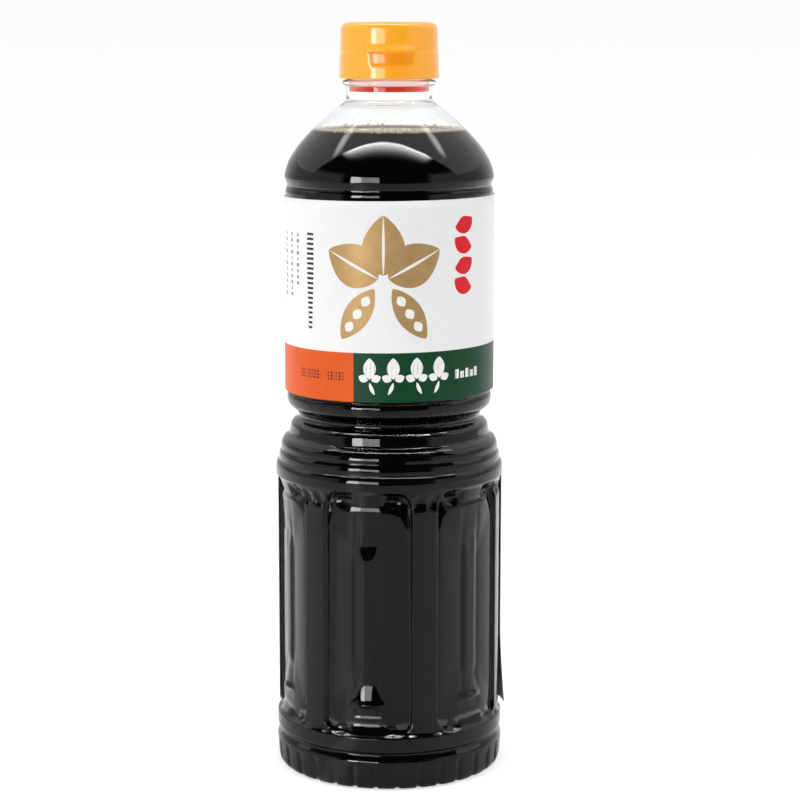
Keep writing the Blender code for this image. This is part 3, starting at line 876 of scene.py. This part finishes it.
def on_sheet(along, up, proud=0.0):
    """Points on the sheet, a cylinder with a lifted corner, from millimetres along it and heights."""
    azimuth = np.radians(SHEET_START) + along / SHEET_RADIUS + 0 * up
    near = np.clip(1 - along / (math.radians(PEEL_DEGREES) * SHEET_RADIUS), 0, 1)
    low = np.clip(1 - (up - SHEET_BOTTOM) / PEEL_HEIGHT, 0, 1)
    lift = (PEEL_REACH - SHEET_THICK - SHEET_RADIUS) * near**1.3 * low**1.5
    radius = SHEET_RADIUS + lift + proud
    return turned(radius, azimuth, up + 0 * azimuth)


sheet_width = math.radians(SHEET_END - SHEET_START) * SHEET_RADIUS
sheet_lines = np.linspace(0, sheet_width, 140), np.linspace(SHEET_BOTTOM, SHEET_TOP, 60)
sheet_grid = np.stack(np.meshgrid(*sheet_lines), axis=-1)
sheet = patch("back_sheet", [sheet_grid], on_sheet, proud=0.0)
thickness = sheet.modifiers.new("thickness", "SOLIDIFY")
thickness.thickness = SHEET_THICK * MM
thickness.offset = 1.0
placed(sheet, printed_finish("coated_label_paper", "#E3E3E0", "#EAEAE8"), "back_paper", "back_label")

head_field = [field(4, sheet_width - 4, 92, 101)]
back_green = patch("back_print_green", head_field, on_sheet, proud=SHEET_THICK + INK)
placed(back_green, printed_finish("green_offset_ink", "#0F4A2D", "#145234"), "back_paper")
back_rows = []
for up in np.arange(85.0, 27.0, -3.2):
    stop = sheet_width - 6 - 14 * (0.5 + 0.5 * math.sin(3.1 * up))
    back_rows += [field(left, min(left + 17.5, stop), up - 1.0, up) for left in np.arange(8, stop - 2, 19.0)]
back_dark = patch("back_print_dark", back_rows, on_sheet, proud=SHEET_THICK + INK)
placed(back_dark, printed_finish("dark_offset_ink", "#4A4644", "#565250"), "back_paper")


# Floor, light and camera
# A white table in a white room that is dim in front, with a tall window at the front left and a bright panel
# in the ceiling. Gloss mirrors the room and the table dimmer than they are seen, and the clear wall lets the
# white behind it through.

TABLE_FRONT = 0.62
ROOM_TOP = 24
# The ceiling's sizes are tangents of the angle from straight up, across and towards the front.
PANEL_HALF = 0.68
PANEL_FRONT = 0.75
PANEL_BACK = 0.17
PANEL_SLANT = 0.12
PANEL_STRENGTH = 25.0
TRIM_STRENGTH = 6.0
# The window's sizes are degrees of elevation, and each pane has two azimuths and a strength.
WINDOW_LOW = -1.5
WINDOW_HIGH = 18.5
WINDOW_PANES = ((-42.5, -30.5, 12.0), (-30.5, -10.5, 4.4))
CAMERA_BACK = 0.7822
CAMERA_UP = 0.2607
CAMERA_DIP = 9.29

table_points = np.array(((-3, -TABLE_FRONT, 0), (3, -TABLE_FRONT, 0), (3, 4, 0), (-3, 4, 0)), float)
table = drawn("table", table_points, [(0, 1, 2, 3)])
# Matt white laminate, nearly even in colour, which takes a soft shadow and mirrors nearly nothing.
table_finish, table_tree, table_shader, table_place = finish_of("white_laminate_table", {
    "Roughness": 0.6, "Specular IOR Level": 0.1, "Emission Color": (1, 1, 1, 1), "Emission Strength": 0.55,
})
table_white = mottled(table_tree, table_place, "#C6C6C8", "#C8C8C9", 3.0)
table_tree.links.new(table_white, table_shader.inputs["Base Color"])

world = bpy.data.worlds.new("white_room")
bpy.context.scene.world = world
world.use_nodes = True
sky = world.node_tree
sky.nodes.clear()


def product(tree, *values):
    """Values multiplied in turn; those after the first may be plain numbers."""
    total = values[0]
    for value in values[1:]:
        total = combined(tree, "MULTIPLY", total, value)
    return total


def azimuth_in(tree, parts):
    """The azimuth of a split position or direction, in degrees from the front, positive to the right."""
    to_front = product(tree, parts.outputs["Y"], -1.0)
    return product(tree, combined(tree, "ARCTAN2", parts.outputs["X"], to_front), 180 / math.pi)


def banded(tree, degrees, stations):
    """A grey level that runs in straight lines through stations of degrees, from 0 to 180, and level."""
    ramp = add(tree, "ShaderNodeValToRGB", {}, Fac=combined(tree, "DIVIDE", degrees, 180.0))
    marks = ramp.color_ramp.elements
    for mark, (place, level) in zip((marks[0], marks[1]), (stations[0], stations[-1])):
        mark.position = place / 180
        mark.color = (level, level, level, 1)
    for place, level in stations[1:-1]:
        marks.new(place / 180).color = (level, level, level, 1)
    return ramp.outputs["Color"]


def shaped(tree, value, low, high, soft):
    """One within a range and none outside it, with soft edges, from two eased steps multiplied."""
    rise = add(tree, "ShaderNodeMapRange", {
        "interpolation_type": "SMOOTHSTEP", "From Min": low - soft, "From Max": low + soft,
    }, Value=value)
    drop = add(tree, "ShaderNodeMapRange", {
        "interpolation_type": "SMOOTHSTEP", "From Min": high - soft, "From Max": high + soft,
        "To Min": 1.0, "To Max": 0.0,
    }, Value=value)
    return product(tree, rise.outputs[0], drop.outputs[0])


def first_mirrored(tree):
    """One for a ray that gloss throws back with no clear wall before it, and none for any other."""
    path = add(tree, "ShaderNodeLightPath", {})
    outside = combined(tree, "LESS_THAN", path.outputs["Transmission Depth"], 0.5)
    return product(tree, path.outputs["Is Glossy Ray"], outside)


# In gloss the table is painted darker, most at the front and least at the back: painted shade in what the
# bottle mirrors.
table_parts = add(table_tree, "ShaderNodeSeparateXYZ", {}, Vector=table_place)
table_turn = combined(table_tree, "ABSOLUTE", azimuth_in(table_tree, table_parts))
table_loss = banded(table_tree, table_turn, (
    (0, 0.71), (24, 0.68), (60, 0.59), (96, 0.47), (120, 0.23), (144, 0.06), (180, 0.0),
))
# Where the table would mirror the window it is darkened less: a painted reflection of the window.
table_window_reflection = shaped(table_tree, azimuth_in(table_tree, table_parts), -43, -27, 4)
table_loss = combined(table_tree, "SUBTRACT", table_loss, product(table_tree, table_window_reflection, 0.2))
table_dark = add(table_tree, "ShaderNodeEmission", {"Strength": 0.0})
table_mixed = add(
    table_tree, "ShaderNodeMixShader", {},
    _0=product(table_tree, table_loss, first_mirrored(table_tree)),
    _1=table_shader.outputs[0], _2=table_dark.outputs[0],
)
table_tree.links.new(table_mixed.outputs[0], table_tree.nodes["Material Output"].inputs["Surface"])
table.data.materials.append(table_finish)

direction = add(sky, "ShaderNodeTexCoord", {}).outputs["Generated"]
heading = add(sky, "ShaderNodeSeparateXYZ", {}, Vector=direction)
azimuth_of = azimuth_in(sky, heading)
elevation_of = product(sky, combined(sky, "ARCSINE", heading.outputs["Z"]), 180 / math.pi)

sideways = combined(sky, "ABSOLUTE", combined(sky, "ADD", azimuth_of, 4.0))
room_lit = banded(sky, sideways, ((0, 0.0), (46, 0.0), (52, 1.0), (180, 1.0)))
room_sides = banded(sky, sideways, ((0, 0.0), (46, 0.0), (52, 0.45), (120, 0.45), (144, 0.85), (180, 1.0)))
room_mirrored = product(sky, room_sides, shaped(sky, elevation_of, -95, ROOM_TOP, 5))
room = add(sky, "ShaderNodeMix", {"data_type": "FLOAT"},
           _0=first_mirrored(sky), _2=room_lit, _3=room_mirrored)

upwards = combined(sky, "MAXIMUM", heading.outputs["Z"], 0.001)
panel_across = combined(sky, "DIVIDE", heading.outputs["X"], upwards)
panel_along = product(sky, combined(sky, "DIVIDE", heading.outputs["Y"], upwards), -1.0)
slanted = combined(sky, "SUBTRACT", panel_along, product(sky, panel_across, PANEL_SLANT))
panel_rise = add(sky, "ShaderNodeMapRange", {
    "From Min": PANEL_FRONT, "From Max": PANEL_BACK, "To Min": 0.0, "To Max": 1.0,
}, Value=slanted)
panel_fade = product(sky, combined(sky, "POWER", panel_rise.outputs[0], 6.0), PANEL_STRENGTH)
panel_place = product(
    sky, shaped(sky, panel_across, -PANEL_HALF, PANEL_HALF, 0.12),
    shaped(sky, slanted, PANEL_BACK, PANEL_FRONT, 0.02),
)
above = combined(sky, "GREATER_THAN", heading.outputs["Z"], 0.3)
panel = product(sky, panel_place, panel_fade, above)
ceiling = product(sky, above, 0.9, shaped(sky, slanted, -9, PANEL_BACK, 0.02))
trim_line = combined(sky, "SUBTRACT", combined(sky, "ABSOLUTE", panel_across), product(sky, panel_along, 1.2))
trim = product(sky, shaped(sky, trim_line, 0.78, 0.98, 0.09), shaped(sky, panel_along, -0.33, -0.02, 0.1))
panel = combined(sky, "ADD", panel, product(sky, trim, above, TRIM_STRENGTH))

window_height = shaped(sky, elevation_of, WINDOW_LOW, WINDOW_HIGH, 0.8)
window, window_dim = [
    product(sky, window_height, shaped(sky, azimuth_of, left, right, 0.7), strength)
    for left, right, strength in WINDOW_PANES
]
lights = combined(sky, "ADD", panel, combined(sky, "ADD", window, window_dim))
total = combined(sky, "ADD", combined(sky, "MAXIMUM", room.outputs[0], ceiling), lights)
studio = add(sky, "ShaderNodeBackground", {}, Strength=combined(sky, "ADD", total, 0.03))
paling = add(sky, "ShaderNodeMapRange", {
    "From Min": -3.2, "From Max": 1.0, "To Min": 1.0, "To Max": 0.97,
}, Value=elevation_of)
backdrop = add(sky, "ShaderNodeBackground", {"Color": (1, 1, 1, 1)}, Strength=paling.outputs[0])
from_front = combined(sky, "ABSOLUTE", azimuth_of)
through_room = banded(sky, from_front, ((0, 0.2), (60, 0.3), (100, 1.0), (180, 1.0)))
through = add(sky, "ShaderNodeBackground", {"Color": (1, 1, 1, 1)}, Strength=product(sky, through_room, 1.3))
path = add(sky, "ShaderNodeLightPath", {})
behind_wall = combined(sky, "GREATER_THAN", path.outputs["Transmission Depth"], 0.5)
lit = add(sky, "ShaderNodeMixShader", {}, _0=behind_wall, _1=studio.outputs[0], _2=through.outputs[0])
seen = add(sky, "ShaderNodeMixShader", {},
           _0=path.outputs["Is Camera Ray"], _1=lit.outputs[0], _2=backdrop.outputs[0])
add(sky, "ShaderNodeOutputWorld", {}, Surface=seen.outputs[0])

camera_data = bpy.data.cameras.new("camera")
camera_data.sensor_width = 36
camera_data.lens = 99
camera_data.shift_x = 0.0135
camera = bpy.data.objects.new("camera", camera_data)
camera.location = (AXIS_X, -CAMERA_BACK, CAMERA_UP)
camera.rotation_euler = (math.radians(90 - CAMERA_DIP), 0, 0)
bpy.context.scene.collection.objects.link(camera)
bpy.context.scene.camera = camera
bpy.context.scene.view_settings.view_transform = "Standard"
